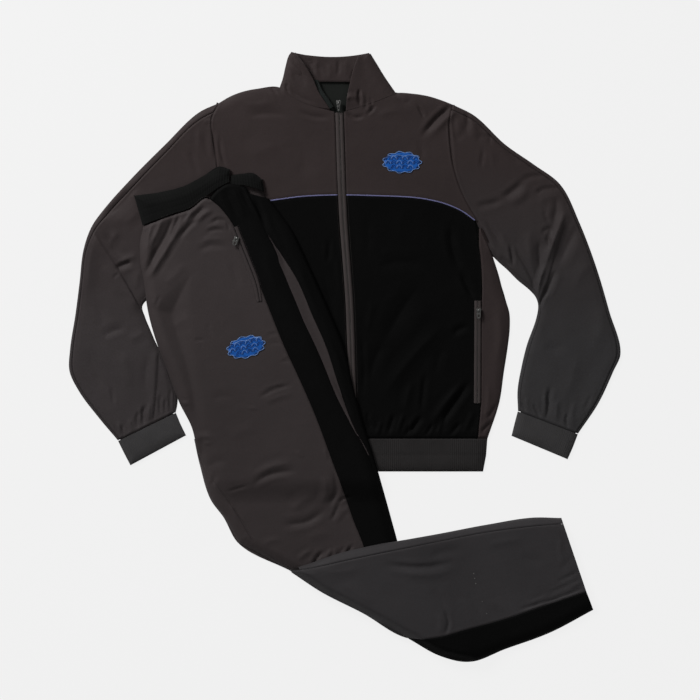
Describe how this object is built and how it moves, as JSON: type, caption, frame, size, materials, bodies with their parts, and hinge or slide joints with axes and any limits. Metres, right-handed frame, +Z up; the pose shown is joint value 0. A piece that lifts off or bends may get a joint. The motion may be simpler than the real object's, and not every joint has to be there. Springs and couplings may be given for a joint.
{
  "type": "tracksuit",
  "caption": "Zipped jacket laid flat with folded trousers resting on it, charcoal and black nylon with ribbed cuffs, hem and waistband, piping and a small blue emblem.",
  "frame": {"origin": "centre of the bounding box in plan, on the surface that it lies on", "axes": "+Z up from the surface, +Y towards the jacket's collar, +X towards the wearer's left sleeve"},
  "size_m": [0.935, 1.0345, 0.0309],
  "materials": {
    "charcoal_nylon": "woven nylon, slight sheen",
    "black_nylon": "woven nylon, slight sheen",
    "charcoal_rib": "ribbed elastic knit",
    "black_rib": "ribbed elastic",
    "piping_cord": "corded piping",
    "zip_tape": "zip tape with moulded teeth",
    "zip_metal": "dull grey metal",
    "blue_thread": "satin embroidery"
  },
  "bodies": {
    "tracksuit": {"collar_back": "charcoal_nylon", "collar_front_left": "charcoal_nylon", "collar_front_right": "charcoal_nylon", "cuff_left": "charcoal_rib", "cuff_right": "charcoal_rib", "emblem_chest": "blue_thread", "emblem_thigh": "blue_thread", "front_lower_left": "black_nylon", "front_lower_right": "black_nylon", "front_slider": "zip_metal", "front_upper_left": "charcoal_nylon", "front_upper_right": "charcoal_nylon", "front_zip": "zip_tape", "front_zip_open": "zip_tape", "hem_band": "charcoal_rib", "jacket_back": "charcoal_nylon", "leg_back_sliver": "charcoal_nylon", "leg_beneath_panel": "charcoal_nylon", "leg_beneath_stripe": "black_nylon", "leg_front": "charcoal_nylon", "leg_pocket_slider": "zip_metal", "leg_stripe": "black_nylon", "piping_left": "piping_cord", "piping_right": "piping_cord", "pocket_slider": "zip_metal", "pocket_zip_leg": "zip_tape", "pocket_zip_right": "zip_tape", "side_right": "charcoal_nylon", "sleeve_left_back": "charcoal_nylon", "sleeve_left_front": "charcoal_nylon", "sleeve_right_back": "charcoal_nylon", "sleeve_right_front": "charcoal_nylon", "trousers_layers": "charcoal_nylon", "turned_layers": "charcoal_nylon", "turned_leg_panel": "charcoal_nylon", "turned_leg_sliver": "charcoal_nylon", "turned_leg_stripe": "black_nylon", "waistband_behind": "black_rib", "waistband_front": "black_rib"},
    "front_tab": {"front_pull": "zip_metal"},
    "pocket_tab": {"pocket_pull": "zip_metal"},
    "leg_pocket_tab": {"leg_pocket_pull": "zip_metal"}
  },
  "joints": [
    {"name": "front_tab_tilt", "type": "hinge", "parent": "tracksuit", "child": "front_tab", "pos_m": [-0.01088, 0.4305, 0.0111], "axis": [-0.9995, 0.03, 0], "range_deg": [0, 150]},
    {"name": "leg_pocket_tab_tilt", "type": "hinge", "parent": "tracksuit", "child": "leg_pocket_tab", "pos_m": [-0.1836, 0.20015, 0.0294], "axis": [-0.9394, 0.3429, 0], "range_deg": [0, 150]},
    {"name": "pocket_tab_tilt", "type": "hinge", "parent": "tracksuit", "child": "pocket_tab", "pos_m": [0.22695, 0.0786, 0.0119], "axis": [-0.9998, 0.02, 0], "range_deg": [0, 150]}
  ]
}
